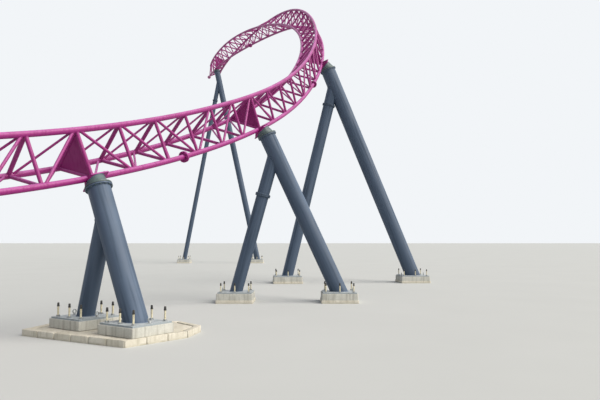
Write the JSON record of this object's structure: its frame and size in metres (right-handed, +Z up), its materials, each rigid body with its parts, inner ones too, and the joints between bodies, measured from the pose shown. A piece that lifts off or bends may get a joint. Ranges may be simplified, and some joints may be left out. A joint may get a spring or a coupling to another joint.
{
  "type": "roller coaster track turn with supports",
  "caption": "Climbing left turn of banked lattice coaster track with two running rails over a round spine, carried by leaning tubular A-frame supports on concrete footings.",
  "frame": {"origin": "on the ground under the first support, in the underside of its slab", "axes": "+Y leads away along the climb, +X points to the outer side of the turn, +Z up"},
  "size_m": [13.7785, 39.3479, 15.4866],
  "materials": {
    "track_paint": "semi_gloss",
    "support_paint": "semi_gloss",
    "head_paint": "semi_gloss",
    "plate_paint": "matte",
    "anchor_steel": "satin",
    "plinth_concrete": "matte",
    "slab_concrete": "matte"
  },
  "bodies": {
    "root": {"rails_1": "track_paint", "rails_2": "track_paint", "rails_3": "track_paint", "rails_4": "track_paint", "rails_5": "track_paint", "spine_1": "track_paint", "spine_2": "track_paint", "spine_3": "track_paint", "spine_4": "track_paint", "spine_5": "track_paint", "frames_1": "track_paint", "frames_2": "track_paint", "frames_3": "track_paint", "frames_4": "track_paint", "frames_5": "track_paint", "diagonals_1": "track_paint", "diagonals_2": "track_paint", "diagonals_3": "track_paint", "diagonals_4": "track_paint", "diagonals_5": "track_paint", "splice_flanges": "track_paint", "diaphragms": "track_paint", "saddles": "track_paint", "main_leg_1": "support_paint", "main_leg_2": "support_paint", "main_leg_3": "support_paint", "main_leg_4": "support_paint", "side_leg_1": "support_paint", "side_leg_2": "support_paint", "side_leg_3": "support_paint", "side_leg_4": "support_paint", "head_1": "head_paint", "head_2": "head_paint", "head_3": "head_paint", "head_4": "head_paint", "base_plates_1": "plate_paint", "base_plates_2": "plate_paint", "base_plates_3": "plate_paint", "base_plates_4": "plate_paint", "anchors_1": "anchor_steel", "anchors_2": "anchor_steel", "anchors_3": "anchor_steel", "anchors_4": "anchor_steel", "plinths_1": "plinth_concrete", "plinths_2": "plinth_concrete", "plinths_3": "plinth_concrete", "plinths_4": "plinth_concrete", "slabs": "slab_concrete"}
  },
  "joints": []
}
